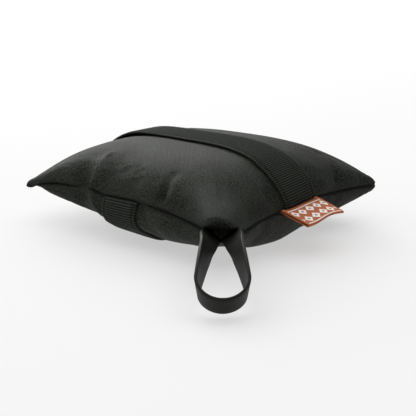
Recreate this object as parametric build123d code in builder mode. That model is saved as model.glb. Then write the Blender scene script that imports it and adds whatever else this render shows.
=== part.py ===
"""A small filled support bag: two sewn nylon panels, two elastic hand straps, a carry loop and a label.

Frame: millimetres, +Z up. The origin is the centre of the resting base. X runs along the top strap,
Y along the bottom strap. The carry loop leaves the corner at (+X, -Y) along the bag's diagonal.
"""

import os
from math import asin, atan2, comb, cos, hypot, radians, sin

from build123d import *

# --- driving dimensions -------------------------------------------------------------------------
length = 228.6              # cut size along X, 9 in, corner to corner
width = 203.2               # cut size along Y, 8 in, corner to corner
corner_height = 35.0        # seam height at the corners
long_side_height = 42.0     # seam height half way along the near and far sides
short_side_height = 37.5    # the same on the left and right sides, which the top strap draws down
seam_pull = 8.0             # how far the filling draws the middle of a side inward
crown_swell = 35.0          # top panel above the seam
base_swell = 46.0           # bottom panel below the seam, before the floor flattens it

rim = 4.0                   # turned-in edge where the two panels lie face to face
crown_lining = 1.4          # top panel's thickness at its middle
base_lining = 3.6           # bottom panel's thickness at its middle, with its backing

elastic_width = 38.1        # both hand straps are 1.5 in tape
elastic = 2.0               # tape thickness
lift_gap = 0.4              # air under a strap that can be pulled off the panel
top_aside = 5.0             # the top strap lies this far towards the far side
base_aside = -3.5           # the bottom strap lies this far towards the left
top_joint = 55.0            # where the top strap's free stretch meets its ends
base_joint = 48.0           # the same for the bottom strap
base_bend = 55.0            # where the bottom strap starts to rise from the floor
tail = 15.5                 # length of a strap end inside the seam
end_gap = 0.4               # air between a free stretch and its sewn ends
tack_inset = 3.0            # a strap end's tack stops this far inside the tape's edges
tack_width = 1.4

webbing = 19.05             # carry loop strap, 3/4 in
webbing_thick = 2.5
loop_height = 37.3          # middle of the strap as it leaves the corner
loop_heading = 47.8         # degrees from +X towards -Y: nearly the bag's diagonal
loop_reach = 98.8           # from the corner to the middle of the loop's end, along its droop
loop_radius = 19.1          # middle of the strap round the loop's end
loop_turn = 2.0             # distance out from the corner at which the loop turns
loop_spread = 7.1           # half the distance between the two legs there
loop_rise = -5.9            # degrees below level as it leaves the corner
loop_droop = 36.5           # degrees below level at its end
loop_twist = 35.3           # degrees that the strap leans out as it leaves the corner
lean_fall = 1.19            # power by which that lean fades towards the loop's end
root_back = 20.0            # the strap's centre starts this far behind the corner
root_turn = -6.0            # and lies along the side seam up to here
root_blend = 24.0           # over this length it stands up into the loop
root_apart = 2.4            # further apart there, for the thickness of the other tail
root_lean = (0.72, 0.69)    # how the sewn tail's breadth lies: outward and back
loop_steps = 14             # sections along each half

loop_clearance = 0.1        # the loop's moving stretch starts this far outside the corner's sides
root_margin = 1.9           # its sewn tails start this far inside them
corner_block = 150.0        # larger than anything near the corner

hinge_gap = 3.0             # open stretch where the label flexes

label_width = 47.0
label_reach = 32.0
label_centre = 4.5          # along the side seam
ribbon = 0.6                # one layer of the label
label_thick = 1.8           # both layers with the air between them
label_droop = 15.5          # degrees below level

thread = 0.8                # stitching thread
stitch_inset = 5.0          # seam stitching, in from the seam's fold
binding_inset = 9.2         # middle of the binding tape
binding_width = 6.0
binding_thick = 3.0
binding_share = 0.72        # how much of a side the binding covers, from its middle to its corners
stitch_share = 0.76         # the same for the seam stitching
side_steps = 3              # sections along each half of a side
closing_count = 13          # hand stitches along the filling gap in the far seam
closing_from, closing_to = 24.0, 84.0
closing_lean = 25           # degrees that a hand stitch slants
closing_length = 4.0

pouch_inset = 17.0          # the liner's own edge, in from the seam
pouch_wall = 0.8
air = 0.6                   # between the liner and the panels, and between the liner and its filling
settled = 1.0               # the liner's bottom rests this much higher than it would when evenly filled
bead_edge = 2.5             # the liner's own wall at its edge

# --- pillow surfaces ----------------------------------------------------------------------------
NET = 8                                      # degree of a pillow surface both ways
REACH = NET / (NET - 1)                      # end rows are this much wider so the middle lands right


def side_point(u, v, inset):
    """A point on the level of the seam, for u and v from -1 to 1, drawn in along each side."""
    bow_u, bow_v = 1 - u * u, 1 - v * v
    x = u * (length / 2 - inset - seam_pull * REACH * bow_v)
    y = v * (width / 2 - inset - seam_pull * REACH * bow_u)
    rise_u = REACH * (long_side_height - corner_height) * bow_u
    rise_v = REACH * (short_side_height - corner_height) * bow_v
    return Vector(x, y, corner_height + rise_u * (1 - bow_v / 2) + rise_v * (1 - bow_u / 2))


def pillow_net(inset, swell):
    """Control net of one pillow surface, whose inner points stand `swell` above the seam's level."""
    net = []
    for i in range(NET + 1):
        row = []
        for j in range(NET + 1):
            point = side_point(2 * i / NET - 1, 2 * j / NET - 1, inset)
            inside = 0 < i < NET and 0 < j < NET
            row.append(point + Vector(0, 0, swell if inside else 0))
        net.append(row)
    return net


def pillow_face(inset, swell):
    return Face.make_bezier_surface(pillow_net(inset, swell))


def side_lines(inset):
    """The four boundary lines of every surface with this inset, as control points."""
    net = pillow_net(inset, 0)
    return [net[0], net[-1], [row[0] for row in net], [row[-1] for row in net]]


def rim_faces(outer, inner):
    """The four narrow faces that join two boundaries at the seam."""
    return [Face.make_bezier_surface([a, b]) for a, b in zip(side_lines(outer), side_lines(inner))]


def closed(faces):
    return Solid(Shell(faces))


def middle_line(inset, swell, along_x):
    """Control points of the pillow's centre line along X or along Y, as (distance, height) pairs."""
    net = pillow_net(inset, swell)
    share = [comb(NET, k) / 2**NET for k in range(NET + 1)]
    line = []
    for i in range(NET + 1):
        if along_x:
            point = sum((net[i][k] * share[k] for k in range(NET + 1)), Vector())
            line.append((point.X, point.Z))
        else:
            point = sum((net[k][i] * share[k] for k in range(NET + 1)), Vector())
            line.append((point.Y, point.Z))
    return line


def stood_off(line, gap, up):
    """The same line, moved out by `gap`: sideways at its two ends and up or down between them."""
    first, last = line[0], line[-1]
    between = [(x, z + gap * up) for x, z in line[1:-1]]
    return [(first[0] - gap, first[1]), *between, (last[0] + gap, last[1])]


CENTRE_SHARE = (1 - 2 / 2**NET)**2            # share of a net's swell that its surface reaches at centre
CENTRE_BOW = 1 - 1 / NET                      # the sides' bow at the middle of a net
seam_level = corner_height + (REACH * CENTRE_BOW * (1 - CENTRE_BOW / 2)
                              * (long_side_height + short_side_height - 2 * corner_height))


def base_swell_to(level):
    """Swell that takes a surface from the seam down to this height at its centre."""
    return (seam_level - level) / CENTRE_SHARE


crown_inner = crown_swell - crown_lining
base_inner = base_swell_to(base_lining)
half_tape = elastic_width / 2


def side_plane(side, u, inset):
    """A section plane across one side's seam. Sides are 0 near, 1 right, 2 far and 3 left."""
    across_bag, along_bag = (width, length) if side % 2 == 0 else (length, width)
    bow = 1 - u * u
    depth = across_bag / 2 - seam_pull * bow - inset
    slide = u * (along_bag / 2 - inset)
    rise = (long_side_height if side % 2 == 0 else short_side_height) - corner_height
    height = corner_height + rise * bow
    turn = Rot(0, 0, 90 * side)
    place = turn * Pos(slide, -depth, height)
    slope = 4 * seam_pull * u / along_bag
    along = Vector(1, -slope, -4 * rise * u / along_bag).normalized()
    inward = Vector(slope, 1, 0).normalized()
    return Plane(place.position, x_dir=inward.rotate(Axis.Z, 90 * side),
                 z_dir=along.rotate(Axis.Z, 90 * side))


# --- straps: whole profiles, cut into free stretches and sewn ends further down -------------------
crown_line = middle_line(0, crown_swell, along_x=True)
base_line = middle_line(0, base_swell * -1, along_x=False)
crown_end = crown_line[-1]                   # seam at the end of the top strap
base_end = base_line[-1]                     # seam at the end of the bottom strap

with BuildPart() as top_strap:
    with BuildSketch(Plane.XZ.offset(-top_aside)):
        with BuildLine():
            under = Bezier(*stood_off(crown_line, lift_gap, 1))
            over = Bezier(*stood_off(crown_line, lift_gap + elastic, 1))
            Line(under @ 0, over @ 0)
            Line(under @ 1, over @ 1)
        make_face()
    extrude(amount=half_tape, both=True)

with BuildPart() as bottom_strap:
    with BuildSketch(Plane.YZ.offset(base_aside)):
        with BuildLine():
            inner = Bezier(*stood_off(base_line, lift_gap, -1))
            outer = Bezier(*stood_off(base_line, lift_gap + elastic, -1))
            Line(inner @ 0, outer @ 0)
            Line(inner @ 1, outer @ 1)
        make_face()
    extrude(amount=half_tape, both=True)
    split(bisect_by=Plane.XY, keep=Keep.TOP)
    with Locations((base_aside, 0, elastic / 2)):
        Box(elastic_width, 2 * base_bend, elastic)


def strap_end(band, end, sign, along_x, joint):
    """One sewn end of a strap: the band beyond its joint, with the flat tail that enters the seam."""
    inside, outside = end[0] - tail, end[0] + lift_gap + elastic
    middle = sign * (inside + outside) / 2
    place = (middle, top_aside, end[1]) if along_x else (base_aside, middle, end[1])
    run = outside - inside
    size = (run, elastic_width) if along_x else (elastic_width, run)
    across = Plane.YZ if along_x else Plane.ZX
    side = Keep.TOP if sign > 0 else Keep.BOTTOM
    with BuildPart() as piece:
        add(band)
        split(bisect_by=across.offset(sign * joint), keep=side)
        with Locations(place):
            Box(*size, elastic)
    return piece


top_strap_left_end = strap_end(top_strap.part, crown_end, -1, True, top_joint)
top_strap_right_end = strap_end(top_strap.part, crown_end, 1, True, top_joint)
bottom_strap_near_end = strap_end(bottom_strap.part, base_end, -1, False, base_joint)
bottom_strap_far_end = strap_end(bottom_strap.part, base_end, 1, False, base_joint)

with BuildPart() as top_strap_middle:
    add(top_strap.part)
    split(bisect_by=Plane.YZ.offset(top_joint - end_gap), keep=Keep.BOTTOM)
    split(bisect_by=Plane.YZ.offset(end_gap - top_joint), keep=Keep.TOP)

with BuildPart() as bottom_strap_middle:
    with BuildSketch(Plane(origin=(base_aside, 0, 0))):
        Rectangle(elastic_width, 2 * (base_joint - end_gap))
    extrude(amount=elastic)

# --- carry loop: one strap along a teardrop path in a sheet that droops as it leaves the corner ----
corner = Vector(length / 2, -width / 2, loop_height)
ahead = Vector(1, 0, 0).rotate(Axis.Z, -loop_heading)
across = ahead.rotate(Axis.Z, 90)
upward = Vector(0, 0, 1)
turn_centre = loop_reach - loop_radius
leg_angle = (atan2(-loop_spread, turn_centre - loop_turn)
             + asin(loop_radius / hypot(turn_centre - loop_turn, loop_spread)))
leg_run = (hypot(turn_centre - loop_turn, loop_spread)**2 - loop_radius**2)**0.5
bend_per_mm = radians(loop_droop - loop_rise) / loop_reach


def droop_at(s):
    return radians(loop_rise) + bend_per_mm * max(s, 0)


def sheet_frame(s):
    """Directions ahead and upward on the drooping sheet at the distance s from the corner."""
    a = droop_at(s)
    return ahead * cos(a) - upward * sin(a), ahead * sin(a) + upward * cos(a)


def sheet_point(s, q):
    """World position of the sheet's point at distance s ahead and q across."""
    start, now = droop_at(0), droop_at(s)
    run = (sin(now) - sin(start)) / bend_per_mm + min(s, 0) * cos(start)
    rise = (cos(now) - cos(start)) / bend_per_mm - min(s, 0) * sin(start)
    return corner + ahead * run + upward * rise + across * q


def loop_path(share):
    """Place, heading and outward lean of the strap, from its root (0) to the loop's far end (1)."""
    lead = loop_turn - root_turn
    arc = loop_radius * (leg_angle + radians(90))
    total = root_back + root_turn + lead + leg_run + arc
    run = share * total - root_back - root_turn - lead
    if run < leg_run:
        s, q = loop_turn + run * cos(leg_angle), loop_spread + run * sin(leg_angle)
        heading = leg_angle
    else:
        heading = leg_angle - (run - leg_run) / loop_radius
        s, q = turn_centre - loop_radius * sin(heading), loop_radius * cos(heading)
    lean = radians(loop_twist) * (1 - max(run, 0) / (leg_run + arc))**lean_fall
    return s, q, heading, lean


def smooth(value):
    value = min(max(value, 0), 1)
    return value * value * (3 - 2 * value)


def loop_plane(share, side):
    """Section plane of the strap: its x runs through the strap, its y across the strap's width.

    Sides are -1 for the leg towards the near side and +1 for the leg towards the right side.
    """
    s, q, heading, lean = loop_path(share)
    loose = smooth((s - root_turn) / root_blend)
    q += (1 - loose) * root_apart
    forward, lift = sheet_frame(s)
    out = across * (side * cos(heading)) - forward * sin(heading)
    free = out * sin(lean) + lift * cos(lean)
    sewn = across * (side * root_lean[0]) - forward * root_lean[1]
    breadth = (free * loose + sewn * (1 - loose)).normalized()
    along = (forward * (side * cos(heading)) + across * sin(heading)).normalized()
    through = along.cross(breadth).normalized()
    return Plane(sheet_point(s, q * side), x_dir=through, z_dir=through.cross(breadth))


with BuildPart() as whole_loop:
    for step in range(-loop_steps, loop_steps + 1):
        with BuildSketch(loop_plane(1 - abs(step) / loop_steps, 1 if step >= 0 else -1)):
            Rectangle(webbing_thick, webbing)
    loft()


def inside_corner(margin):
    """Centre of a block that covers the corner, out to this far short of the cut size on both sides."""
    return Vector(length / 2 - margin - corner_block / 2, corner_block / 2 + margin - width / 2, 0)


with BuildPart() as carry_loop:
    add(whole_loop.part)
    with Locations(inside_corner(-loop_clearance)):
        Box(corner_block, corner_block, corner_block, mode=Mode.SUBTRACT)

with BuildPart() as carry_loop_root:
    add(whole_loop.part)
    with Locations(inside_corner(root_margin)):
        Box(corner_block, corner_block, corner_block, mode=Mode.INTERSECT)

# --- label: a ribbon folded once, its two ends in the side seam under the top strap ---------------
label_top = crown_end[1] - elastic / 2
label_mid = label_top - ribbon
label_hinge_x = crown_end[0] + lift_gap + elastic

with BuildPart() as label_root:
    with Locations((label_hinge_x - hinge_gap / 2, label_centre, label_mid)):
        Box(tail / 2 + elastic, label_width, 2 * ribbon, align=(Align.MAX, Align.CENTER, Align.CENTER))

droop = Vector(cos(radians(label_droop)), 0, -sin(radians(label_droop)))
label_side = Plane((label_hinge_x, label_centre, label_mid), x_dir=droop, z_dir=(0, -1, 0))
with BuildPart() as label:
    with BuildSketch(label_side):
        with Locations((hinge_gap / 2, 0)):
            Rectangle(label_reach, label_thick, align=(Align.MIN, Align.CENTER))
        fillet(vertices().sort_by(Axis.X)[-2:], label_thick * 0.45)
        with Locations((hinge_gap / 2, 0)):
            Rectangle(label_reach - ribbon, label_thick - 2 * ribbon, align=(Align.MIN, Align.CENTER),
                      mode=Mode.SUBTRACT)
    extrude(amount=label_width / 2, both=True)

# --- seam: binding tape, stitching, tacks and the hand-closed filling gap -------------------------
sewn_ends = [top_strap_left_end, top_strap_right_end, bottom_strap_near_end, bottom_strap_far_end,
             carry_loop_root, label_root]


def along_sides(inset, tall, wide, share):
    """Four strips along the seam, one per side, `share` of the way from its middle to its corners."""
    with BuildPart() as strips:
        for side in range(4):
            for step in range(-side_steps, side_steps + 1):
                with BuildSketch(side_plane(side, step / side_steps * share, inset)):
                    Rectangle(wide, tall)
            loft()
        for piece in sewn_ends:
            add(piece.part, mode=Mode.SUBTRACT)
    return strips


seam_binding = along_sides(binding_inset, binding_thick, binding_width, binding_share)
seam_stitching = along_sides(stitch_inset, thread, thread, stitch_share)

with BuildPart() as strap_tacks:
    tack_length = elastic_width - 2 * tack_inset
    for end, sign, along_x in ((crown_end, -1, True), (crown_end, 1, True),
                               (base_end, -1, False), (base_end, 1, False)):
        reach = sign * (end[0] - tail + tack_width)
        place = (reach, top_aside, end[1]) if along_x else (base_aside, reach, end[1])
        size = (tack_width, tack_length) if along_x else (tack_length, tack_width)
        with Locations(Pos(*place) * Pos(0, 0, elastic / 2)):
            Box(*size, thread, align=(Align.CENTER, Align.CENTER, Align.MIN))

with BuildPart() as closing_stitches:
    for step in range(closing_count):
        x = closing_from + (closing_to - closing_from) * step / (closing_count - 1)
        seam = side_plane(2, -2 * x / length, -thread * 0.56)
        with Locations(Location(seam.origin, (0, closing_lean, 0))):
            Cylinder(thread / 2, closing_length)

# --- panels -------------------------------------------------------------------------------------
# The loop's tails are pinched in the corner, so they press into both panels; the others have slots.
slotted_ends = [piece for piece in sewn_ends if piece is not carry_loop_root]

with BuildPart() as top_panel:
    add(closed([pillow_face(0, crown_swell), pillow_face(rim, crown_inner), *rim_faces(0, rim)]))
    for piece in slotted_ends:
        add(piece.part, mode=Mode.SUBTRACT)

with BuildPart() as bottom_panel:
    add(closed([pillow_face(0, -base_swell), pillow_face(rim, -base_inner), *rim_faces(0, rim)]))
    split(bisect_by=Plane.XY, keep=Keep.TOP)
    with Locations((base_aside, 0, 0)):
        Box(elastic_width + 2 * lift_gap, 2 * base_joint, 2 * (elastic + lift_gap), mode=Mode.SUBTRACT)
    for piece in slotted_ends:
        add(piece.part, mode=Mode.SUBTRACT)

# --- filling: a closed liner and the beads inside it ----------------------------------------------
pouch_crown = crown_inner - air
pouch_base = base_swell_to(base_lining + air + settled)
bead_crown = pouch_crown - pouch_wall
bead_base = pouch_base - pouch_wall - settled / 2
bead_inset = pouch_inset + bead_edge


def filled(inset, crown, base):
    return closed([pillow_face(inset, crown), pillow_face(inset, -base)])


with BuildPart() as fill_pouch:
    add(filled(pouch_inset, pouch_crown, pouch_base))
    add(filled(bead_inset, bead_crown, bead_base), mode=Mode.SUBTRACT)

with BuildPart() as bead_fill:
    add(filled(bead_inset + 3 * air, bead_crown - air, bead_base - air))

# --- write every piece --------------------------------------------------------------------------
pieces = {
    "top_panel": top_panel,
    "bottom_panel": bottom_panel,
    "seam_binding": seam_binding,
    "seam_stitching": seam_stitching,
    "strap_tacks": strap_tacks,
    "closing_stitches": closing_stitches,
    "fill_pouch": fill_pouch,
    "bead_fill": bead_fill,
    "top_strap_middle": top_strap_middle,
    "top_strap_left_end": top_strap_left_end,
    "top_strap_right_end": top_strap_right_end,
    "bottom_strap_middle": bottom_strap_middle,
    "bottom_strap_near_end": bottom_strap_near_end,
    "bottom_strap_far_end": bottom_strap_far_end,
    "carry_loop": carry_loop,
    "carry_loop_root": carry_loop_root,
    "label": label,
    "label_root": label_root,
}

os.makedirs("parts", exist_ok=True)
for name, piece in pieces.items():
    piece.part.label = name
    export_step(piece.part, f"parts/{name}.step")
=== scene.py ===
"""Looks of a small filled support bag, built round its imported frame. Metres, +Z up.

X runs along the top strap, Y along the bottom strap, and the carry loop leaves the corner at (+X, -Y).
"""
from math import asin, atan2, cos, hypot, pi, radians, sin

import bpy
import numpy as np
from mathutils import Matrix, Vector


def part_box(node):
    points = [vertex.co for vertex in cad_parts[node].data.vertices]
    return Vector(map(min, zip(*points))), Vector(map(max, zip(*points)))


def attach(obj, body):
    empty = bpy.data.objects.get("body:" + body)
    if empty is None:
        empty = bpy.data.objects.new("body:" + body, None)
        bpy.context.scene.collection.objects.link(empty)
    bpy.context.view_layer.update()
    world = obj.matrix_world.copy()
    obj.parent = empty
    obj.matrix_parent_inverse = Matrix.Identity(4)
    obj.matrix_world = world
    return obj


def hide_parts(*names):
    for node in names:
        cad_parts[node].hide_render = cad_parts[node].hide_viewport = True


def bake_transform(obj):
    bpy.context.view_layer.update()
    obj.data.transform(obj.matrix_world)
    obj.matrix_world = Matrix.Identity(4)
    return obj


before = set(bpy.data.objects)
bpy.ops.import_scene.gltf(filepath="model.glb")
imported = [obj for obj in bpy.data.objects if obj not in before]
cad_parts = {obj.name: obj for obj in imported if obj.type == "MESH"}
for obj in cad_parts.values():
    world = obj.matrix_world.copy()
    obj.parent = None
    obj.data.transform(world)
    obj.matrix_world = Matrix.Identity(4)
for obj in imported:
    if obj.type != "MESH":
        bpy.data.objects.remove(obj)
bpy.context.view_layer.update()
mm = 0.001

# --- sizes, from the frame where it has them ----------------------------------------------------
panel_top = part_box("top_panel")[1]
half_x, half_y = panel_top.x, panel_top.y

seam_pull = 6.65 * mm          # how far the middle of each side is drawn inward
seam_mid = 46.0 * mm           # level between the panels half way along a side
corner_levels = (33.5 * mm, 34.2 * mm, 35.0 * mm, 34.0 * mm)   # left, near, right and far corner
# How far each panel stands off that level, how square its form is and how upright it leaves the seam.
top_swell, top_square, top_edge = 28.4 * mm, 3.395, 0.426
base_swell = 65.6 * mm         # more than the level's height, because the floor flattens it
base_square_x, base_edge_x = 1.623, 0.654
base_square_y, base_edge_y = 1.295, 0.327
wall_swell = 4.1 * mm          # the filling pushes the wall below the seam outward
corner_tuck = 14 * mm          # how far the loop draws the near corner in
hood_seam = 1.0 * mm           # height above the seam where the top panel starts to bulge over it
# How far the top panel is pushed out and up over that corner, by the distance in from it (both in mm).
hood_out = ((-2, 0, 5, 10, 15, 20, 28, 36, 44, 52), (0, 0, 4, 11, 15.5, 17, 13.5, 7.5, 2.5, 0))
hood_up = ((0, 6, 12, 18, 26, 36, 50), (0, 1.5, 3.0, 3.4, 2.2, 0.7, 0))
# The three free corners: the sides of x and y, how much fuller the top and the bottom are there, for how
# many mm, and how many mm the bunched cloth rolls up and down at the very tip.
ears = (
    (-1, -1, -0.45, -0.92, 24, 0.4, 2.0),      # left
    (1, 1, -0.10, -0.05, 14, 0.5, 0.3),        # right
    (-1, 1, 0.0, -0.2, 14, 1.0, 1.0),          # far
)
ear_stretch = 1.6 * mm         # blunt tip of a corner, where four turned-in edges are bunched
ear_roll_reach, ear_roll_start = 7 * mm, 0.9 * mm
groove_depth, groove_height = 2.3 * mm, 1.5 * mm    # the seam between the two filled panels
floor_round = 3.0 * mm         # radius of the turn where the bag leaves the floor
skin_low = 0.02 * mm           # nothing of the cloth goes lower than this above the floor
cloth_thick = 0.7 * mm

tape_width = 38.1 * mm         # both hand straps
tape_thick = 2.0 * mm
tape_air = 0.15 * mm
tape_low = 0.05 * mm
rib_pitch, rib_height = 2.0 * mm, 0.85 * mm
rib_rows = 4                   # mesh rows to one rib
press_inner, press_outer = 17 * mm, 27 * mm     # the top strap presses in a band of the top panel
tent_rise, tent_place, tent_reach = 1.9 * mm, 46 * mm, 24 * mm   # and stands off it left of the crest
strap_lift = 0.5 * mm          # slack of the top strap away from its seams
top_strap_y = (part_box("top_strap_middle")[0].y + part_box("top_strap_middle")[1].y) / 2
base_strap_x = (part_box("bottom_strap_middle")[0].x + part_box("bottom_strap_middle")[1].x) / 2
tuck = 4.0 * mm                # length over which a strap thins into its seam

loop_width, loop_thick = 19.05 * mm, 2.5 * mm
loop_corner = Vector((half_x, -half_y, 37.3 * mm))
loop_heading = radians(47.8)   # from +X towards -Y
loop_reach, loop_radius = 98.8 * mm, 19.1 * mm
loop_turn, loop_spread = 2.0 * mm, 7.1 * mm     # where the straight legs start: out and to each side
loop_rise, loop_droop = radians(-5.9), radians(36.5)
loop_twist = radians(35.3)
loop_root = 16.0 * mm          # tail of each leg inside the corner
loop_round = 0.55 * mm
loop_apart = 2.2 * mm          # the legs stand this much further apart as they leave the bag
loop_lower = 2.2 * mm          # and this much lower where they are sewn in

label_width, label_reach = 47.0 * mm, 29.0 * mm
label_centre, label_level = 4.5 * mm, 36.3 * mm
label_seam = 35.9 * mm         # level of the seam that the label is level with
label_follow = 0.6             # share of the seam's slope that the label takes on
label_droop = radians(10.0)
label_wave, label_curl, label_gape = 0.9 * mm, 1.2 * mm, 0.6     # gape: the near corner opens
label_tail, label_fold = 7 * mm, 0.85 * mm
ribbon = 0.55 * mm

ahead = Vector((cos(loop_heading), -sin(loop_heading), 0))
across = Vector((sin(loop_heading), cos(loop_heading), 0))
up = Vector((0, 0, 1))


# --- the cushion's form --------------------------------------------------------------------------
def smooth_line(places, heights, spread=0.032):
    """A smooth curve through a few (place, height) pairs, places running from -1 to 1."""
    t = np.linspace(-1, 1, 801)
    z = np.interp(t, places, np.array(heights) * mm)
    reach = 40
    weights = np.exp(-0.5 * (np.arange(-reach, reach + 1) * (t[1] - t[0]) / spread) ** 2)
    ends = np.r_[2 * z[0] - z[reach:0:-1], z, 2 * z[-1] - z[-2:-reach - 2:-1]]
    soft = np.convolve(ends, weights / weights.sum(), "valid")
    return lambda s: np.interp(s, t, soft)


# Height of each seam along its side. The near one has a knot where its fabric is bunched.
near_seam = smooth_line(
    (-1, -0.93, -0.86, -0.72, -0.6, -0.45, -0.33, -0.21, 0.1, 0.42, 0.71, 0.85, 1),
    (33.5, 35.2, 37.0, 40.6, 41.7, 41.9, 43.4, 40.0, 41.9, 41.0, 37.5, 35.2, 34.2))
right_seam = smooth_line(
    (-1, -0.8, -0.62, -0.5, -0.27, -0.07, 0.26, 0.63, 0.85, 1),
    (34.2, 31.8, 31.2, 34.2, 35.2, 35.2, 38.6, 37.0, 35.8, 35.0))
far_seam = smooth_line((-1, -0.7, -0.3, 0.2, 0.6, 1), (34.0, 38.5, 41.0, 41.2, 39.0, 35.0))
left_seam = smooth_line((-1, -0.6, -0.2, 0.3, 0.7, 1), (33.5, 37.0, 39.5, 40.0, 37.5, 34.0))


def seam_level(u, v):
    """Height of the sheet between the two panels, which meets the four seams at its sides."""
    left, near, right, far = corner_levels
    swell = seam_mid - sum(corner_levels) / 4
    flat = ((1 - u) * (1 - v) * left + (1 + u) * (1 - v) * near
            + (1 + u) * (1 + v) * right + (1 - u) * (1 + v) * far) / 4
    bow_u, bow_v = 1 - u * u, 1 - v * v
    level = flat + swell * (bow_u + bow_v - 0.875 * bow_u * bow_v)
    sides = ((near_seam, u, left, near, (1 + v) * half_y), (far_seam, u, far, right, (1 - v) * half_y),
             (left_seam, v, left, far, (1 + u) * half_x), (right_seam, v, near, right, (1 - u) * half_x))
    for seam, along, first, last, inward in sides:
        plain = (first * (1 - along) + last * (1 + along)) / 2 + swell * (1 - along * along)
        level = level + (seam(along) - plain) * np.exp(-(inward / (30 * mm)) ** 1.5)
    return level


def bulge(t, square, edge):
    """Height of a cushion along one axis: 1 in the middle, 0 at both ends."""
    return np.clip(1 - np.abs(t) ** square, 0, 1) ** edge


def step(t):
    """0 up to 0 and 1 from 1 on, smooth between."""
    t = np.clip(t, 0, 1)
    return t * t * (3 - 2 * t)


def near_line(points, start, end):
    """Distance from each point to the line between two places in mm, and how far along it that is."""
    a, b = np.array(start) * mm, np.array(end) * mm
    share = np.clip(((points - a) @ (b - a)) / ((b - a) @ (b - a)), 0, 1)
    return np.linalg.norm(points - a - share[..., None] * (b - a), axis=-1), share


# Folds in the cloth: from, to, half width and rise, all in millimetres. A negative rise is a hollow.
top_folds = (
    ((-37.5, -97, 46), (-41, -70, 70), 3.0, 3.2),      # ridge up from the knot
    ((-49, -97, 44), (-51, -74, 62), 9.5, -5.0),       # the cloth falls away to the left of it
    ((-22, -97, 46), (-20, -88, 60), 9.0, -1.0),
    ((42, -92, 52), (39.5, -76, 65), 4.2, -4.6),       # dimple in the near side
    ((51, -94, 52), (48, -80, 63), 5.0, 1.5),
    ((104, -25, 48), (81, -19, 67), 8.0, -3.8),        # pressed in beside the top strap
    ((107, 58, 48), (80, 65, 63), 5.5, -4.0),          # hollow and ridge towards the right corner
    ((106, 38, 48), (92, 39, 63), 6.5, 1.6),
    ((104, 76, 44), (92, 80, 54), 6.0, 1.2),
    ((-102, 50, 50), (-84, 42, 60), 7.0, -1.8),
    ((-104, -46, 50), (-86, -40, 60), 7.0, -1.6),
    ((34, 94, 52), (30, 84, 62), 6.0, -1.9),
    ((-28, 94, 52), (-30, 84, 62), 7.0, -1.3),
    ((4, 95, 52), (2, 86, 63), 7.0, 1.1),
)
base_folds = (
    ((93, -38, 8), (88, 44, 8), 16.0, 5.6),            # fuller beside the loop
    ((4, -84, 9), (42, -78, 6), 13.0, -2.2),           # and less so in front of it
    ((-84, -97, 31), (-48, -90, 20), 12.0, 2.0),
    ((-36, -98, 38), (-24, -95, 20), 3.5, 2.4),        # ridge down from the knot
    ((-48, -97, 38), (-42, -92, 22), 8.0, -2.6),
    ((20, -97, 38), (31, -95, 22), 5.0, -3.4),         # crease beside the bottom strap
    ((45, -95, 36), (50, -84, 16), 8.0, 1.4),
    ((68, -92, 30), (64, -82, 14), 6.0, -1.8),
    ((107, -42, 30), (94, -46, 10), 7.0, -2.0),
    ((106, 34, 32), (92, 34, 10), 8.0, -2.0),
    ((106, 62, 30), (94, 60, 14), 7.0, 1.4),
    ((-105, -30, 34), (-90, -34, 8), 8.0, -1.8),
    ((-106, 34, 36), (-92, 36, 8), 8.0, -1.6),
    ((34, 95, 36), (32, 78, 8), 8.0, -1.8),
    ((-40, 95, 36), (-38, 80, 8), 8.0, -1.5),
)


def strap_aside(x):
    """Where the top strap's middle lies in Y: it runs a little askew."""
    left_end, right_end = 1.5 * mm, -1 * mm
    return top_strap_y + left_end * step(-x / (70 * mm)) + right_end * step(x / (110 * mm))


def band(distance, inner, outer):
    """1 within inner of a line, 0 beyond outer, smooth between."""
    return 1 - step((np.abs(distance) - inner) / (outer - inner))


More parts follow.
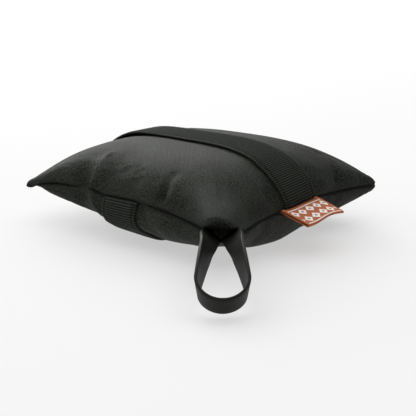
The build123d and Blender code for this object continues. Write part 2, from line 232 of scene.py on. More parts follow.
def panel(u, v, top):
    """Points of the top or the bottom panel for u and v from -1 to 1."""
    u, v = np.broadcast_arrays(np.asarray(u, float), np.asarray(v, float))
    x = u * (half_x - seam_pull * (1 - v * v))
    y = v * (half_y - seam_pull * (1 - u * u))
    level = seam_level(u, v)
    fuller, deeper = 1.0, 1.0
    for a, b, above, below, reach, _, _ in ears:
        tip = np.exp(-(np.hypot(x - a * half_x, y - b * half_y) / (reach * mm)) ** 2)
        fuller, deeper = fuller + above * tip, deeper + below * tip
        x, y = x + a * ear_stretch * tip, y + b * ear_stretch * tip
    if top:
        tilt = 1 + 0.165 * u - 0.118 * v + 0.128 * u * v
        rise = top_swell * tilt * bulge(u, top_square, top_edge) * bulge(v, top_square, top_edge)
        rise = rise * fuller
        depth = (0.5 + 0.9 * step((x - 30 * mm) / (60 * mm))) * mm
        pressed = band(y - strap_aside(x), press_inner, press_outer) * depth
        z = level + rise - pressed * np.clip(rise / (12 * mm), 0, 1)
    else:
        rise = base_swell * (1 + 0.237 * u + 0.166 * v)
        rise = rise * bulge(u, base_square_x, base_edge_x) * bulge(v, base_square_y, base_edge_y)
        rise = rise * deeper
        lowest = (tape_thick + 0.5 * mm) * band(x - base_strap_x, 19.5 * mm, 24 * mm)
        over = level - rise - lowest
        z = lowest + (over + np.sqrt(over ** 2 + floor_round ** 2)) / 2
        wall = wall_swell * np.sin(pi * np.clip(rise / level, 0, 1))
        x = x + np.sign(u) * np.abs(u) ** 6 * wall * 0.6
        y = y + np.sign(v) * np.abs(v) ** 6 * wall
    inward = np.minimum((1 - np.abs(u)) * half_x, (1 - np.abs(v)) * half_y)
    for a, b, _, _, _, roll_up, roll_down in ears:
        tip = np.exp(-(np.hypot(x - a * half_x, y - b * half_y) / ear_roll_reach) ** 4)
        roll = (roll_up if top else -roll_down) * mm
        z = z + roll * tip * (1 - np.exp(-inward / ear_roll_start))
    height = np.abs(z - level)
    points = grooved(np.stack([x, y, z], -1), u, v, height)
    points = points + tucked_corner(points, height, top)
    points = folded(points, u, v, height, top)
    points[..., 2] = np.maximum(points[..., 2], skin_low)
    return points


def grooved(points, u, v, height):
    """The filling pushes both panels out beyond the seam, which stays as a narrow groove."""
    near_u, near_v = np.abs(u) ** 12, np.abs(v) ** 12
    outward = np.stack([np.sign(u) * near_u, np.sign(v) * near_v, 0 * u], -1)
    outward /= np.maximum(np.linalg.norm(outward, axis=-1, keepdims=True), 1e-6)
    groove = np.clip(near_u + near_v, 0, 1) * np.exp(-(height / groove_height) ** 2)
    return points - outward * (groove_depth * groove)[..., None]


def folded(points, u, v, height, top):
    """The points with the panel's folds and hollows, which are strongest at the end that they start from."""
    outward = np.stack([u ** 5, v ** 5, np.full(u.shape, 0.55 if top else -0.55)], -1)
    outward /= np.linalg.norm(outward, axis=-1, keepdims=True)
    for start, end, width, lift in (top_folds if top else base_folds):
        distance, along = near_line(points, start, end)
        amount = lift * mm * np.exp(-(distance / (width * mm)) ** 2) * (1.1 - 0.7 * step(along))
        amount = amount * np.clip(height / (4 * mm), 0, 1)
        points = points + outward * amount[..., None]
    return points


def tucked_corner(points, height, top):
    """How far each point moves: the loop holds the near corner back, and the top panel hoods it."""
    offset = points - np.array(loop_corner)
    inside, side = -(offset @ np.array(ahead)), offset @ np.array(across)
    free = step((height - hood_seam) / (6 * mm))
    drawn = corner_tuck * step((corner_tuck - inside) / corner_tuck + 0.1)
    if not top:
        return -(drawn * (1 - step(height / (14 * mm))))[..., None] * np.array(ahead)
    middle = np.exp(-(side / (19 * mm)) ** 4)
    out = np.interp(inside / mm, *hood_out) * mm * middle
    lift = np.interp(inside / mm, *hood_up) * mm * middle
    return ((out * free - drawn * (1 - free))[..., None] * np.array(ahead)
            + (lift * free)[..., None] * np.array(up))


# --- meshes --------------------------------------------------------------------------------------
def new_piece(name, points, faces, material, cloth=None):
    """A smooth mesh piece. cloth gives each point its place on the flat cloth, in metres."""
    mesh = bpy.data.meshes.new(name)
    mesh.from_pydata([tuple(map(float, p)) for p in points], [], faces)
    mesh.polygons.foreach_set("use_smooth", [len(f) == 4 for f in faces])
    if cloth is not None:
        places = mesh.attributes.new("cloth", "FLOAT_VECTOR", "POINT")
        places.data.foreach_set("vector", np.asarray(cloth, np.float32).ravel())
    mesh.materials.append(material)
    piece = bpy.data.objects.new(name, mesh)
    bpy.context.scene.collection.objects.link(piece)
    return piece


def grid_faces(rows, columns, closed=False, flip=False):
    """Quads of a grid of points, row after row. A closed grid joins its last column to its first."""
    faces = []
    for i in range(rows - 1):
        for j in range(columns if closed else columns - 1):
            k = (j + 1) % columns
            quad = (i * columns + j, (i + 1) * columns + j, (i + 1) * columns + k, i * columns + k)
            faces.append(quad[::-1] if flip else quad)
    return faces


def tube_faces(rows, columns):
    """A closed grid with both ends capped."""
    first = tuple(range(columns))
    last = tuple((rows - 1) * columns + j for j in reversed(range(columns)))
    return grid_faces(rows, columns, closed=True, flip=True) + [first[::-1], last[::-1]]


# --- materials -----------------------------------------------------------------------------------
class Finish:
    """A material whose nodes are made with short words. Places are in metres on the flat cloth."""

    def __init__(self, name, **shader):
        self.material = bpy.data.materials.new(name)
        self.material.use_nodes = True
        self.tree = self.material.node_tree
        self.shader = self.tree.nodes["Principled BSDF"]
        for socket, value in shader.items():
            self.shader.inputs[socket.replace("_", " ")].default_value = value

    def add(self, kind, *values, **settings):
        node = self.tree.nodes.new("ShaderNode" + kind)
        for name, value in settings.items():
            setattr(node, name, value)
        for socket, value in zip(node.inputs, values):
            self.plug(value, socket)
        return node

    def plug(self, value, socket):
        if isinstance(value, bpy.types.NodeSocket):
            self.tree.links.new(value, socket)
        elif value is not None:
            socket.default_value = value

    def cloth(self):
        """Place on the flat cloth."""
        return self.add("Attribute", attribute_name="cloth").outputs["Vector"]

    def place(self):
        """Place in the object's own frame."""
        return self.add("TexCoord").outputs["Object"]

    def math(self, operation, *values):
        return self.add("Math", *values, operation=operation).outputs[0]

    def apart(self, vector):
        return self.add("SeparateXYZ", vector).outputs[:2]

    def noise(self, vector, scale, detail=2.0, roughness=0.5):
        node = self.add("TexNoise")
        values = {"Vector": vector, "Scale": scale, "Detail": detail, "Roughness": roughness}
        for name, value in values.items():
            self.plug(value, node.inputs[name])
        return node.outputs["Fac"]

    def stretched(self, vector, x, y):
        return self.add("VectorMath", vector, (x, y, 1), operation="MULTIPLY").outputs[0]

    def spread(self, value, low, high, out_low=0.0, out_high=1.0):
        """Maps low..high to out_low..out_high, held at both ends."""
        node = self.add("MapRange")
        for socket, number in zip(node.inputs[:5], (value, low, high, out_low, out_high)):
            self.plug(number, socket)
        return node.outputs[0]

    def mix(self, share, a, b):
        node = self.add("Mix", data_type="RGBA")
        colours = [s for s in node.inputs if s.type == "RGBA"]
        self.plug(share, node.inputs[0])
        self.plug(a, colours[0])
        self.plug(b, colours[1])
        return [s for s in node.outputs if s.type == "RGBA"][0]

    def bump(self, height, distance, strength=1.0, under=None):
        node = self.add("Bump")
        node.inputs["Strength"].default_value = strength
        node.inputs["Distance"].default_value = distance
        self.plug(height, node.inputs["Height"])
        self.plug(under, node.inputs["Normal"])
        return node.outputs["Normal"]

    def wear(self, **sockets):
        for name, value in sockets.items():
            self.plug(value, self.shader.inputs[name.replace("_", " ")])
        return self.material


def grey(level, warmth=0.0):
    return (level * (1 + warmth), level, level * (1 - warmth), 1)


def dark(level):
    """A near black with the slight green cast of dyed nylon."""
    return (level * 0.87, level, level * 0.76, 1)


def weave_height(f, pitch_x, pitch_y):
    """Plain weave: threads that pass over and under each other, 0 to 1."""
    x, y = f.apart(f.cloth())
    warp = f.math("SINE", f.math("MULTIPLY", x, pi / pitch_x))
    weft = f.math("SINE", f.math("MULTIPLY", y, pi / pitch_y))
    return f.math("MULTIPLY_ADD", f.math("MULTIPLY", warp, weft), 0.5, 0.5)


def nylon_finish():
    """Coarse matt nylon: near black, with uneven threads and the pale bloom such cloth has."""
    f = Finish("coarse_nylon", Sheen_Weight=0.02, Sheen_Roughness=0.4, Sheen_Tint=grey(0.8, 0.03),
               Specular_IOR_Level=0.12)
    cloth = f.cloth()
    threads = weave_height(f, 0.74 * mm, 0.80 * mm)
    warp = f.noise(f.stretched(cloth, 1250, 480), 1, 2, 0.6)
    weft = f.noise(f.stretched(cloth, 520, 1150), 1, 2, 0.6)
    slubs = f.math("MULTIPLY", f.math("ADD", warp, weft), 0.5)
    bloom = f.noise(f.place(), 26, 4, 0.6)
    clumps = f.noise(f.stretched(cloth, 760, 440), 1, 2, 0.6)
    grain = f.math("ADD", f.math("MULTIPLY", slubs, 0.72), f.math("MULTIPLY", clumps, 0.28))
    tone = f.math("ADD", grain, f.math("MULTIPLY", bloom, 0.15))
    colour = f.mix(f.spread(tone, 0.515, 0.635), dark(0.001), dark(0.042))
    colour = f.mix(f.math("MULTIPLY", threads, 0.20), colour, dark(0.036))
    rough = f.spread(slubs, 0.35, 0.65, 0.52, 0.74)
    broad = f.bump(f.noise(cloth, 160, 3, 0.55), 0.5 * mm, 0.6)
    fine = f.bump(threads, 0.35 * mm, 1.0, broad)
    return f.wear(Base_Color=colour, Roughness=rough, Normal=f.bump(slubs, 1.0 * mm, 1.0, fine))


def elastic_finish():
    """Woven elastic tape: yarns that run along it, floating over the rubber ribs, with painted shade
    darkening the grooves between the ribs.
    """
    f = Finish("woven_elastic", Sheen_Weight=0.05, Sheen_Roughness=0.5, Sheen_Tint=grey(0.8),
               Specular_IOR_Level=0.12)
    cloth = f.cloth()
    x, y = f.apart(cloth)
    yarns = f.math("SINE", f.math("MULTIPLY", y, 2 * pi / (0.9 * mm)))
    # Painted shade: the colour darkens towards the grooves between the ribs, where the mesh's ribs sink in.
    ribs = f.math("ABSOLUTE", f.math("SINE", f.math("MULTIPLY", x, pi / rib_pitch)))
    fuzz = f.noise(f.stretched(cloth, 700, 1300), 1, 2, 0.7)
    tone = f.math("ADD", f.math("MULTIPLY", ribs, 0.7), f.math("MULTIPLY", fuzz, 1.1))
    colour = f.mix(f.spread(tone, 0.86, 1.26), dark(0.0004), dark(0.044))
    height = f.math("ADD", f.math("MULTIPLY", yarns, 0.35), fuzz)
    return f.wear(Base_Color=colour, Roughness=f.spread(fuzz, 0.3, 0.7, 0.6, 0.85),
                  Normal=f.bump(height, 0.40 * mm, 0.9))


def rubber_finish():
    """Smooth rubber-coated webbing with a faint matt grain."""
    f = Finish("coated_webbing", Specular_IOR_Level=0.12, Coat_Weight=0.02, Coat_Roughness=0.35)
    grain = f.noise(f.cloth(), 1500, 3, 0.6)
    clouds = f.noise(f.place(), 55, 3, 0.55)
    colour = f.mix(f.spread(clouds, 0.3, 0.75), dark(0.006), dark(0.0105))
    rough = f.spread(f.math("ADD", grain, clouds), 0.7, 1.3, 0.44, 0.58)
    return f.wear(Base_Color=colour, Roughness=rough, Normal=f.bump(grain, 0.05 * mm, 0.5))


def label_finish():
    """Rust-coloured woven ribbon with two rows of pale diamonds between thin stripes."""
    f = Finish("woven_ribbon", Sheen_Weight=0.04, Sheen_Roughness=0.5, Specular_IOR_Level=0.3)
    cloth = f.cloth()
    along, out = f.apart(cloth)

    def row(centre, half_height, pitch, shift):
        """1 inside the diamonds of one row."""
        cell = f.math("FRACT", f.math("MULTIPLY_ADD", along, 1 / pitch, shift))
        away = f.math("ABSOLUTE", f.math("SUBTRACT", cell, 0.5))
        off = f.math("ABSOLUTE", f.math("SUBTRACT", out, centre))
        ring = f.math("ADD", f.math("MULTIPLY", away, 2.0), f.math("DIVIDE", off, half_height))
        body = f.math("LESS_THAN", ring, 0.92)
        heart = f.math("LESS_THAN", ring, 0.30)
        return f.math("SUBTRACT", body, heart)

    def stripe(centre, half_height):
        off = f.math("ABSOLUTE", f.math("SUBTRACT", out, centre))
        return f.math("LESS_THAN", off, half_height)

    tall, pitch, thin, margin = 5.2 * mm, 9.4 * mm, 0.55 * mm, 2.2 * mm
    pale = f.math("ADD", row(10.6 * mm, tall, pitch, 0.5), row(21.4 * mm, tall, pitch, 0.0))
    for centre in (4.4 * mm, 27.6 * mm):
        pale = f.math("ADD", pale, stripe(centre, thin))
    inside = f.math("LESS_THAN", f.math("ABSOLUTE", along), label_width / 2 - margin)
    pale = f.math("MULTIPLY", f.math("MINIMUM", pale, 1.0), inside)
    threads = weave_height(f, 0.45 * mm, 0.55 * mm)
    fuzz = f.noise(cloth, 1300, 2, 0.6)
    rust = f.mix(fuzz, (0.35, 0.088, 0.028, 1), (0.52, 0.150, 0.058, 1))
    cream = f.mix(fuzz, (0.80, 0.73, 0.66, 1), (0.95, 0.91, 0.86, 1))
    height = f.math("ADD", threads, f.math("MULTIPLY", pale, 0.8))
    return f.wear(Base_Color=f.mix(pale, rust, cream), Roughness=f.spread(fuzz, 0.3, 0.7, 0.6, 0.85),
                  Normal=f.bump(height, 0.16 * mm, 0.8))


def thread_finish(name, low, high):
    """Twisted sewing thread or tape: fine slanting strands."""
    f = Finish(name, Sheen_Weight=0.1, Specular_IOR_Level=0.35)
    strands = f.noise(f.place(), 2400, 2, 0.6)
    rough = f.spread(strands, 0.3, 0.7, 0.5, 0.75)
    return f.wear(Base_Color=f.mix(strands, low, high), Roughness=rough,
                  Normal=f.bump(strands, 0.12 * mm, 0.8))


def bead_finish():
    """Small plastic filling beads, seen only if the bag is opened, with painted shade where the beads meet.
    """
    f = Finish("filling_beads", Specular_IOR_Level=0.4)
    cells = f.add("TexVoronoi")
    f.plug(f.place(), cells.inputs["Vector"])
    cells.inputs["Scale"].default_value = 330
    away = cells.outputs["Distance"]
    # Painted shade: each bead is pale in its middle and darker towards its rim, where it meets the next
    # bead.
    colour = f.mix(away, (0.78, 0.78, 0.75, 1), (0.42, 0.42, 0.40, 1))
    rough = f.spread(away, 0, 1, 0.35, 0.6)
    return f.wear(Base_Color=colour, Roughness=rough, Normal=f.bump(away, 1.0 * mm, 0.7))


nylon = nylon_finish()
elastic = elastic_finish()
rubber = rubber_finish()
ribbon_cloth = label_finish()
sewing_thread = thread_finish("sewing_thread", grey(0.012), grey(0.040))
edge_binding = thread_finish("edge_binding", grey(0.015), grey(0.035))
liner_cloth = thread_finish("liner_cloth", grey(0.30), grey(0.45))
beads = bead_finish()


# --- the two panels ------------------------------------------------------------------------------
def spaced(count):
    """Values from -1 to 1, closer together towards both ends."""
    return np.sin(np.linspace(-pi / 2, pi / 2, count))


def blurred(field, radius, axes=(0, 1)):
    """A grid smoothed by a bell curve, radius in cells."""
    reach = int(3 * radius)
    bell = np.exp(-0.5 * (np.arange(-reach, reach + 1) / radius) ** 2)
    bell /= bell.sum()

    def soft(line):
        return np.convolve(np.pad(line, reach, "reflect", reflect_type="odd"), bell, "valid")

    for axis in axes:
        field = np.apply_along_axis(soft, axis, field)
    return field


def puckers(points):
    """How far a sheet's small folds stand out of its broad form, without any swell along its sides."""
    out = ((points - blurred(points, 4.5)) * normals(blurred(points, 2))).sum(-1)
    t = np.linspace(-1, 1, len(points)) ** 4
    beside_v = (t[None, :] + 0.02) / (t[None, :] + t[:, None] + 0.04)
    return ((out - blurred(out, 5, (0,))) * beside_v
            + (out - blurred(out, 5, (1,))) * (1 - beside_v))


def cloth_ripples(count=92, frames=26):
    """Inflates two flat sewn sheets as cloth, and returns how far each one's puckers stand out."""
    t = np.linspace(-1, 1, count)
    u, v = np.meshgrid(t, t, indexing="ij")
    swell = 5 * mm * bulge(u, 2, 0.5) * bulge(v, 2, 0.5)
    slack = 1.06
    sheet = np.stack([u * half_x * slack, v * half_y * slack, swell], -1).reshape(-1, 3)
    border = (np.abs(u) == 1) | (np.abs(v) == 1)
    lower = np.where(border.ravel(), np.arange(count * count), -1)
    inner = np.flatnonzero(lower < 0)
    lower[inner] = count * count + np.arange(len(inner))
    points = np.vstack([sheet, sheet[inner] * (1, 1, -1)])
    quads = grid_faces(count, count)
    faces = quads + [tuple(int(lower[k]) for k in reversed(q)) for q in quads]
    bag = new_piece("sewn_sheets", points, faces, nylon)
    nylon_cloth = bag.modifiers.new("cloth", "CLOTH").settings
    nylon_cloth.quality = 7
    nylon_cloth.mass = 0.25
    nylon_cloth.tension_stiffness = 22
    nylon_cloth.compression_stiffness = 22
    nylon_cloth.shear_stiffness = 9
    nylon_cloth.bending_stiffness = 0.35
    nylon_cloth.air_damping = 3
    nylon_cloth.use_pressure = True
    nylon_cloth.uniform_pressure_force = 5
    nylon_cloth.effector_weights.gravity = 0
    scene = bpy.context.scene
    for frame_number in range(1, frames + 1):
        scene.frame_set(frame_number)
    shape = bag.evaluated_get(bpy.context.evaluated_depsgraph_get()).data
    final = np.zeros(len(points) * 3)
    shape.vertices.foreach_get("co", final)
    final = final.reshape(-1, 3)
    scene.frame_set(1)
    bpy.data.objects.remove(bag)
    upper, under = (final[k].reshape(count, count, 3) for k in (slice(count * count), lower))
    return puckers(upper), -puckers(under)


def sampled(field, u, v):
    """The grid field, which covers -1 to 1 evenly, read between its points."""
    last = len(field) - 1
    a, b = (u + 1) / 2 * last, (v + 1) / 2 * last
    i, j = np.minimum(a.astype(int), last - 1), np.minimum(b.astype(int), last - 1)
    a, b = a - i, b - j
    return ((field[i, j] * (1 - a) + field[i + 1, j] * a) * (1 - b)
            + (field[i, j + 1] * (1 - a) + field[i + 1, j + 1] * a) * b)


def normals(points):
    """Unit normals of a grid of points, du cross dv."""
    n = np.cross(np.gradient(points, axis=0), np.gradient(points, axis=1))
    return n / np.maximum(np.linalg.norm(n, axis=-1, keepdims=True), 1e-12)


def laid_out(points, axis):
    """Distance of each point along the cloth from the panel's middle, one way of a grid."""
    steps = np.linalg.norm(np.diff(points, axis=axis), axis=-1)
    run = np.insert(np.cumsum(steps, axis=axis), 0, 0, axis=axis)
    return run - run.take([run.shape[axis] // 2], axis=axis)


def rippled(points, u, v, top, ripple):
    """A panel's points with the simulated puckers, which fade out at its seams and beneath a strap."""
    gain, most = (0.8 if top else 1.1), 1.5 * mm
    amount = np.clip(sampled(ripple, u, v) * gain, -most, most)
    x, y, z = points[..., 0], points[..., 1], points[..., 2]
    if top:
        clear = 1 - band(y - strap_aside(x), 19 * mm, 27 * mm)
    else:
        clear = 1 - band(x - base_strap_x, 20 * mm, 27 * mm)
        clear = clear * step((z - 1.5 * mm) / (8 * mm))
    corner = np.hypot(x - half_x, y + half_y)
    clear = clear * step((corner - 18 * mm) / (20 * mm))
    clear = clear * (1 - np.clip(np.abs(u) ** 60 + np.abs(v) ** 60, 0, 1))
    out = normals(points) * (1 if top else -1)
    points = points + out * (amount * clear)[..., None]
    points[..., 2] = np.maximum(points[..., 2], skin_low)
    return points


def build_panel(name, top, node, ripple):
    """One of the two panels as cloth of even thickness. Without a ripple it has its folds only."""
    rows, columns = 168, 152
    u, v = np.meshgrid(spaced(rows), spaced(columns), indexing="ij")
    points = panel(u, v, top)
    if ripple is not None:
        points = rippled(points, u, v, top, ripple)
    flat = np.stack([laid_out(points, 0), laid_out(points, 1), 0 * u], -1).reshape(-1, 3)
    faces = grid_faces(rows, columns, flip=not top)
    piece = new_piece(name, points.reshape(-1, 3), faces, nylon, flat)
    skin = piece.modifiers.new("cloth_thickness", "SOLIDIFY")
    skin.thickness = cloth_thick
    skin.offset = -1
    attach(piece, "bag")
    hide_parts(node)


ripples = cloth_ripples()
build_panel("top_cloth", True, "top_panel", ripples[0])
build_panel("bottom_cloth", False, "bottom_panel", ripples[1])


# --- hand straps ---------------------------------------------------------------------------------
def tape_section():
    """Round the tape: (place across, height, share of the ribs), in metres, from one edge to the other."""
    half = tape_width / 2
    # The smooth rolled edge, as (in from the edge, height) in mm, down to the groove beside the ribs.
    edge = ((0.25, 0.0), (0, 0.55), (0, 1.3), (0.35, 1.85), (1.2, 2.0), (2.2, 1.9), (2.6, 1.25), (3.0, 1.3))
    upper = [(-half + inward * mm, height * mm, 0.0) for inward, height in edge]
    inner = half - 3.5 * mm
    for x in np.linspace(-inner, inner, 15):
        upper.append((x, 1.45 * mm, 1.0))
    upper += [(half - inward * mm, height * mm, 0.0) for inward, height in reversed(edge)]
    lower = [(x, 0.0, 0.0) for x in np.linspace(half - 4 * mm, -half + 4 * mm, 9)]
    return np.array(upper + lower)


def strap_centre(ends, top, along_x):
    """Places (-1 to 1) evenly spaced along half of a strap's middle line, which holds whole ribs only.

    Returns the places, the distance to each, and the same distance counted in ribs.
    """
    fine = np.sin(np.linspace(*(np.arcsin(e) for e in ends), 3000))
    zero = np.zeros_like(fine)
    line = panel(fine, zero, top) if along_x else panel(zero, fine, top)
    run = np.r_[0, np.cumsum(np.linalg.norm(np.diff(line, axis=0), axis=1))]
    count = int(round(run[-1] / rib_pitch)) * rib_rows
    wanted = np.linspace(0, run[-1], count + 1)
    return np.interp(wanted, run, fine), wanted, np.arange(count + 1) / rib_rows


def build_strap(name, side, top, along_x, nodes):
    """Half of a hand strap, from its seam to the middle. side is -1 or 1, the end that it starts from."""
    places, run, ribs = strap_centre((side, 0), top, along_x)
    shift, height, ribbed = tape_section().T
    half_other = half_y if along_x else half_x
    aside = (strap_aside(places * half_x) if top else base_strap_x + 0 * places)[:, None]

    def beneath(offsets):
        """The panel's points under lines that run along the strap at these distances from its middle."""
        far = (offsets + aside) / (half_other - seam_pull * (1 - places[:, None] ** 2))
        main = np.broadcast_to(places[:, None], far.shape)
        return panel(main, far, top) if along_x else panel(far, main, top)

    # Outward directions come from a plain lattice, which isn't upset by the section's turns.
    lattice = np.linspace(-tape_width / 2, tape_width / 2, 9)
    out = normals(beneath(lattice))
    out = out * np.sign((out * np.array([0, 0, 1 if top else -1])).sum(-1).mean())
    for _ in range(3):
        out[1:-1] = (out[:-2] + 2 * out[1:-1] + out[2:]) / 4
    out /= np.linalg.norm(out, axis=-1, keepdims=True)
    out = np.stack([[np.interp(shift, lattice, row[:, k]) for k in range(3)] for row in out])
    out = out.transpose(0, 2, 1)
    rib = np.abs(np.sin(pi * ribs)) ** 0.7 * rib_height
    raised = (height + rib[:, None] * ribbed) * (0.25 + 0.75 * step(run / tuck))[:, None]
    lifted = step((run - 12 * mm) / (45 * mm)) * (strap_lift if top else 0)
    if top and side < 0:
        lifted = lifted + tent_rise * np.exp(-((run - tent_place) / tent_reach) ** 2)
    points = beneath(shift) + out * (raised + tape_air + lifted[:, None])[..., None]
    points[..., 2] = np.maximum(points[..., 2], tape_low)
    size = points.shape[:2]
    # The third number keeps the halves' noise apart.
    flat = np.stack([np.broadcast_to(ribs[:, None] * rib_pitch, size), np.broadcast_to(shift, size),
                     np.full(size, side * 1.0)], -1)
    piece = new_piece(name, points.reshape(-1, 3), tube_faces(*size), elastic, flat.reshape(-1, 3))
    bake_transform(piece)
    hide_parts(*nodes)


build_strap("top_strap_right_half", 1, True, True, ("top_strap_middle", "top_strap_right_end"))
build_strap("top_strap_left_half", -1, True, True, ("top_strap_left_end",))
build_strap("bottom_strap_near_half", -1, False, False,
            ("bottom_strap_middle", "bottom_strap_near_end"))
build_strap("bottom_strap_far_half", 1, False, False, ("bottom_strap_far_end",))


# --- carry loop ----------------------------------------------------------------------------------
def loop_line():
    """The middle line of one leg and half of the round end.

    Returns a function of the distance run from the corner, and that distance at the loop's middle. The
    function gives a point in the loop's plane of symmetry, how far the leg stands beside it, the leg's
    heading, how far its face leans, the slope of the plane, and 0 to 1 from sewn in to free.
    """
    turn_centre = loop_reach - loop_radius
    far = hypot(turn_centre - loop_turn, loop_spread)
    leg_angle = atan2(-loop_spread, turn_centre - loop_turn) + asin(loop_radius / far)
    leg_run = (far ** 2 - loop_radius ** 2) ** 0.5
    arc = loop_radius * (leg_angle + pi / 2)
    bend = (loop_droop - loop_rise) / loop_reach

    def at(run):
        if run < leg_run:
            out = loop_turn + run * cos(leg_angle)
            side = loop_spread + run * sin(leg_angle)
            heading = leg_angle
        else:
            heading = leg_angle - (run - leg_run) / loop_radius
            out = turn_centre - loop_radius * sin(heading)
            side = loop_radius * cos(heading)
        lean = loop_twist * (1 - max(run, 0) / (leg_run + arc)) ** 1.19
        loose = step((out + 1 * mm) / (34 * mm))
        slope = loop_rise + bend * max(out, 0)
        along = (sin(slope) - sin(loop_rise)) / bend + min(out, 0) * cos(loop_rise)
        fall = (cos(slope) - cos(loop_rise)) / bend - min(out, 0) * sin(loop_rise)
        point = loop_corner + ahead * along + up * (fall - loop_lower * (1 - loose))
        apart = loop_apart * (1 - step((run + 6 * mm) / (50 * mm)))
        return point, side + apart, heading, lean, slope, loose

    return at, leg_run + arc


def rounded_bar(width, thick, corner, per_corner=4, across_steps=4):
    """Outline of a flat bar with rounded edges, as (across, through) pairs in order."""
    outline = []
    centres = ((1, 1), (-1, 1), (-1, -1), (1, -1))
    for k, (a, b) in enumerate(centres):
        for i in range(per_corner + 1):
            angle = k * pi / 2 + i / per_corner * pi / 2
            outline.append((a * (width / 2 - corner) + corner * cos(angle),
                            b * (thick / 2 - corner) + corner * sin(angle)))
        if k % 2 == 0:
            start, end = a * (width / 2 - corner), -a * (width / 2 - corner)
            for i in range(1, across_steps):
                outline.append((start + (end - start) * i / across_steps, b * thick / 2))
    return np.array(outline)


def build_loop():
    """The carry loop: one flat strap from the corner, round the end and back to the corner."""
    at, total = loop_line()
    outline = rounded_bar(loop_width, loop_thick, loop_round)
    runs = np.r_[np.linspace(-loop_root, 0, 12)[:-1], np.linspace(0, total, 76)]
    rows, cloth = [], []
    for half in (1, -1):
        for run in (runs if half == 1 else runs[::-1][1:]):
            point, offset, heading, lean, slope, loose = at(run)
            forward = ahead * cos(slope) - up * sin(slope)
            lift = ahead * sin(slope) + up * cos(slope)
            out = across * half * cos(heading) - forward * sin(heading)
            free = out * sin(lean) + lift * cos(lean)
            sewn = (across * half * 0.68 + lift * 0.55 - forward * 0.40).normalized()
            breadth = (sewn * (1 - loose) + free * loose).normalized()
            travel = forward * cos(heading) + across * half * sin(heading)
            through = travel.cross(breadth).normalized() * half
            centre = point + across * half * offset
            rows.append([centre + breadth * a + through * b for a, b in outline])
            place = run if half == 1 else 2 * total - run
            cloth += [(place, a, b) for a, b in outline]
    points = [tuple(point) for row in rows for point in row]
    faces = tube_faces(len(rows), len(outline))
    piece = new_piece("carry_loop_strap", points, faces, rubber, cloth)
    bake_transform(piece)
    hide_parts("carry_loop", "carry_loop_root")


build_loop()


# --- label ---------------------------------------------------------------------------------------
def build_label():
    """A ribbon folded in half: out from the seam, round the fold and back beneath itself."""
    columns = 31
    across_places = np.linspace(-label_width / 2, label_width / 2, columns)
    hinge_x = half_x - seam_pull + 0.6 * mm
    fold = label_fold
    straight = label_reach - fold
    # Rows of (out from the seam, height, distance along the ribbon).
    path = [(s, fold, s) for s in np.linspace(-label_tail, straight, 28)]
    for k in range(1, 9):
        turn = pi * k / 9
        path.append((straight + fold * sin(turn), fold * cos(turn), straight + fold * turn))
    for s in np.linspace(straight, -label_tail, 28):
        path.append((s, -fold, 2 * straight + pi * fold - s))
    path = np.array(path)
    tangent = np.gradient(path[:, :2], axis=0)
    tangent /= np.linalg.norm(tangent, axis=1, keepdims=True)
    outward = np.stack([-tangent[:, 1], tangent[:, 0]], 1)
    skins = []
    for offset in (ribbon / 2, -ribbon / 2):
        s = path[:, 0] + outward[:, 0] * offset
        h = path[:, 1] + outward[:, 1] * offset
        free = np.clip(s / label_reach, 0, 1)
        q, s = np.meshgrid(across_places, s)
        h, free = h[:, None] + 0 * q, free[:, None] + 0 * q
        wave = label_wave * free * np.sin(2.3 * q / label_width * pi + 0.6)
        curl = -label_curl * (2 * q / label_width) ** 2 * free
        gape = 1 + label_gape * step(-q / label_width) * step(free * 3)
        h = h * gape + wave + curl
        x = hinge_x + s * cos(label_droop) + h * sin(label_droop)
        droop = s * sin(label_droop) * np.where(s > 0, 1, 0.25)
        tilt = (right_seam((q + label_centre) / half_y) - label_seam) * label_follow
        z = label_level - droop + h * cos(label_droop) + tilt
        skins.append(np.stack([x, label_centre + q, z], -1).reshape(-1, 3))
    rows = len(path)
    count = rows * columns
    faces = grid_faces(rows, columns)
    faces += [tuple(k + count for k in face) for face in grid_faces(rows, columns, flip=True)]
    rim = [i * columns for i in range(rows)] + [count - columns + j for j in range(1, columns)]
    rim += [i * columns + columns - 1 for i in range(rows - 2, -1, -1)] + list(range(columns - 2, 0, -1))
    for a, b in zip(rim, rim[1:] + rim[:1]):
        faces.append((a, a + count, b + count, b))
    cloth = np.stack(np.broadcast_arrays(across_places, path[:, 2:], 0.0), -1).reshape(-1, 3)
    piece = new_piece("woven_label", np.vstack(skins), faces, ribbon_cloth, np.vstack([cloth, cloth]))
    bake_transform(piece)
    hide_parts("label", "label_root")


build_label()


# --- closing stitches ----------------------------------------------------------------------------
def beside_seam(u, top, height):
    """The point of a panel that stands this far from the far seam, above or below it."""
    near = panel(u, 1 - np.geomspace(1e-6, 0.05, 80), top)
    return near[np.argmin(np.abs(np.abs(near[:, 2] - near[0, 2]) - height))]


def build_closing_stitches():
    """Hand stitches that close the filling gap in the far seam, each crossing from panel to panel."""
    first_stitch, last_stitch, stitch_count = 24 * mm, 84 * mm, 13
    reach, slant = 2.2 * mm, 0.007             # above and below the seam, and aside as a share of the side
    thread_radius, arch, sunk = 0.36 * mm, 0.5 * mm, 0.1 * mm
    sides, rings = 8, 9
    points, faces = [], []
    for u in np.linspace(first_stitch, last_stitch, stitch_count) / half_x:
        high = beside_seam(u + slant, True, reach)
        low = beside_seam(u - slant, False, reach)
        way = (low - high) / np.linalg.norm(low - high)
        side = np.cross(way, (0, 1, 0))
        side /= np.linalg.norm(side)
        front = np.cross(side, way)
        start = len(points)
        for k in range(rings):
            t = k / (rings - 1)
            centre = high * (1 - t) + low * t + np.array([0, arch * sin(pi * t) - sunk, 0])
            for j in range(sides):
                turn = 2 * pi * j / sides
                points.append(centre + (side * cos(turn) + front * sin(turn)) * thread_radius)
        faces += [tuple(i + start for i in face) for face in tube_faces(rings, sides)]
    piece = new_piece("closing_thread", points, faces, sewing_thread)
    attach(piece, "bag")
    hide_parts("closing_stitches")


build_closing_stitches()

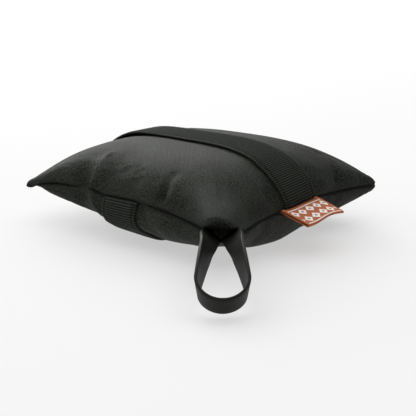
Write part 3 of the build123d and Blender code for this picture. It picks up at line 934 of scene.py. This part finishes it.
# The pieces inside the bag keep their CAD shapes.
inner_finishes = {
    "seam_binding": edge_binding,
    "seam_stitching": sewing_thread,
    "strap_tacks": sewing_thread,
    "fill_pouch": liner_cloth,
    "bead_fill": beads,
}
for node, finish in inner_finishes.items():
    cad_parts[node].data.materials.clear()
    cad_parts[node].data.materials.append(finish)


# --- floor, light and camera ---------------------------------------------------------------------
camera_turn, camera_tilt, camera_away = radians(42.18), radians(16.28), 1.5
back = Vector((sin(camera_turn) * cos(camera_tilt), -cos(camera_turn) * cos(camera_tilt), sin(camera_tilt)))
right = Vector((cos(camera_turn), sin(camera_turn), 0))
above = back.cross(right)
away = Vector((-back.x, -back.y, 0)).normalized()


def build_floor():
    """A pale floor that gives off some light itself, as a light table does."""
    f = Finish("pale_light_table", Roughness=0.9, Specular_IOR_Level=0.05, Emission_Color=grey(1),
               Emission_Strength=0.52)
    f.wear(Base_Color=f.mix(f.noise(f.place(), 3, 2), grey(0.33), grey(0.345)))
    half, level = 9.0, -0.1 * mm
    points = [(x * half, y * half, level) for x, y in ((-1, -1), (1, -1), (1, 1), (-1, 1))]
    new_piece("floor", points, [(0, 1, 2, 3)], f.material)


def hung(name, data, facing, place=(0, 0, 0)):
    """Puts a light or a camera in the scene with its back towards facing."""
    holder = bpy.data.objects.new(name, data)
    holder.location = place
    holder.rotation_euler = facing.to_track_quat("Z", "Y").to_euler()
    bpy.context.scene.collection.objects.link(holder)
    return holder


def build_camera():
    middle = Vector((0, 0, 34 * mm))
    place = middle + back * camera_away
    target = middle + right * 6.6 * mm - above * 20.2 * mm
    lens = bpy.data.cameras.new("camera")
    lens.sensor_width = 36
    lens.lens = 148
    bpy.context.scene.camera = hung("camera", lens, place - target, place)


def build_lights():
    """A broad soft light from above, one large soft light behind the bag, and a dim room."""
    key = bpy.data.lights.new("soft_key", "SUN")
    key.energy = 3.3
    key.angle = radians(120)
    hung("soft_key", key, away * 0.40 - right * 0.25 + up)

    softbox = bpy.data.lights.new("back_softbox", "AREA")
    softbox.shape = "DISK"
    softbox.size = 1.2
    softbox.energy = 18
    place = away * 1.7 - right * 0.5 + up * 0.85
    hung("back_softbox", softbox, place - Vector((0, 0, 60 * mm)), place)

    world = bpy.data.worlds.new("studio")
    world.use_nodes = True
    room = world.node_tree.nodes["Background"]
    room.inputs["Color"].default_value = (1, 1, 1, 1)
    room.inputs["Strength"].default_value = 0.09
    bpy.context.scene.world = world


build_floor()
build_camera()
build_lights()
bpy.context.scene.view_settings.view_transform = "Standard"
